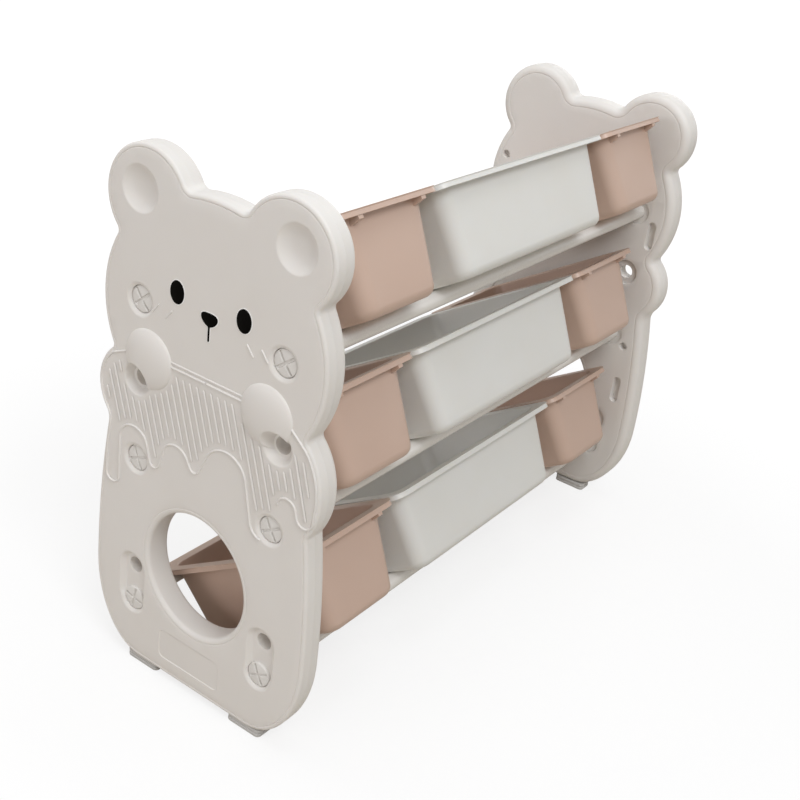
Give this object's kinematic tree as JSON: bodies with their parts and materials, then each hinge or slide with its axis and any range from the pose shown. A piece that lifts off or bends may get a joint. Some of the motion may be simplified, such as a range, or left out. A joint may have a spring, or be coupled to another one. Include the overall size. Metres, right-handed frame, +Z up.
{
  "type": "kids shelving unit",
  "caption": "Child's toy shelf with bear-shaped end panels joined by rods that carry rows of tilted, lift-off storage bins.",
  "frame": {"origin": "on the floor under the middle of the unit", "axes": "+X along the rods, +Y from the open front to the rear, +Z up"},
  "size_m": [1.011, 0.39, 0.78],
  "materials": {
    "panel_white": "satin blow-moulded plastic, warm white",
    "bin_white": "satin injection-moulded plastic, cream white",
    "bin_pink": "satin injection-moulded plastic, dusty pink",
    "rod_white": "white coated tube",
    "screw_white": "satin moulded plastic",
    "plug_white": "plain moulded plastic",
    "foot_grey": "matt grey rubber",
    "face_black": "black inlay with a thin pale edge"
  },
  "bodies": {
    "rack": {"panel_right": "panel_white", "panel_left": "panel_white", "foot_front_right": "foot_grey", "foot_rear_right": "foot_grey", "foot_front_left": "foot_grey", "foot_rear_left": "foot_grey", "rod_bottom_front": "rod_white", "rod_bottom_rear": "rod_white", "rod_middle_front": "rod_white", "rod_middle_rear": "rod_white", "rod_top_front": "rod_white", "rod_top_rear": "rod_white", "rod_plugs_right": "plug_white", "rod_plugs_left": "plug_white", "screws_right": "screw_white", "screws_left": "screw_white", "eyes_right": "face_black", "eyes_left": "face_black", "nose_right": "face_black", "nose_left": "face_black"},
    "bin_bottom_left": {"bin_bottom_left": "bin_pink"},
    "bin_bottom_centre": {"bin_bottom_centre": "bin_white"},
    "bin_bottom_right": {"bin_bottom_right": "bin_pink"},
    "bin_middle_left": {"bin_middle_left": "bin_pink"},
    "bin_middle_centre": {"bin_middle_centre": "bin_white"},
    "bin_middle_right": {"bin_middle_right": "bin_pink"},
    "bin_top_left": {"bin_top_left": "bin_pink"},
    "bin_top_centre": {"bin_top_centre": "bin_white"},
    "bin_top_right": {"bin_top_right": "bin_pink"}
  },
  "joints": [
    {"name": "lift_bottom_left", "type": "slide", "parent": "rack", "child": "bin_bottom_left", "axis": [0, -0.5299, 0.848], "range_m": [0, 0.05]},
    {"name": "lift_bottom_centre", "type": "slide", "parent": "rack", "child": "bin_bottom_centre", "axis": [0, -0.5299, 0.848], "range_m": [0, 0.05]},
    {"name": "lift_bottom_right", "type": "slide", "parent": "rack", "child": "bin_bottom_right", "axis": [0, -0.5299, 0.848], "range_m": [0, 0.05]},
    {"name": "lift_middle_left", "type": "slide", "parent": "rack", "child": "bin_middle_left", "axis": [0, -0.5299, 0.848], "range_m": [0, 0.05]},
    {"name": "lift_middle_centre", "type": "slide", "parent": "rack", "child": "bin_middle_centre", "axis": [0, -0.5299, 0.848], "range_m": [0, 0.05]},
    {"name": "lift_middle_right", "type": "slide", "parent": "rack", "child": "bin_middle_right", "axis": [0, -0.5299, 0.848], "range_m": [0, 0.05]},
    {"name": "lift_top_left", "type": "slide", "parent": "rack", "child": "bin_top_left", "axis": [0, -0.5299, 0.848], "range_m": [0, 0.15]},
    {"name": "lift_top_centre", "type": "slide", "parent": "rack", "child": "bin_top_centre", "axis": [0, -0.5299, 0.848], "range_m": [0, 0.15]},
    {"name": "lift_top_right", "type": "slide", "parent": "rack", "child": "bin_top_right", "axis": [0, -0.5299, 0.848], "range_m": [0, 0.15]}
  ]
}
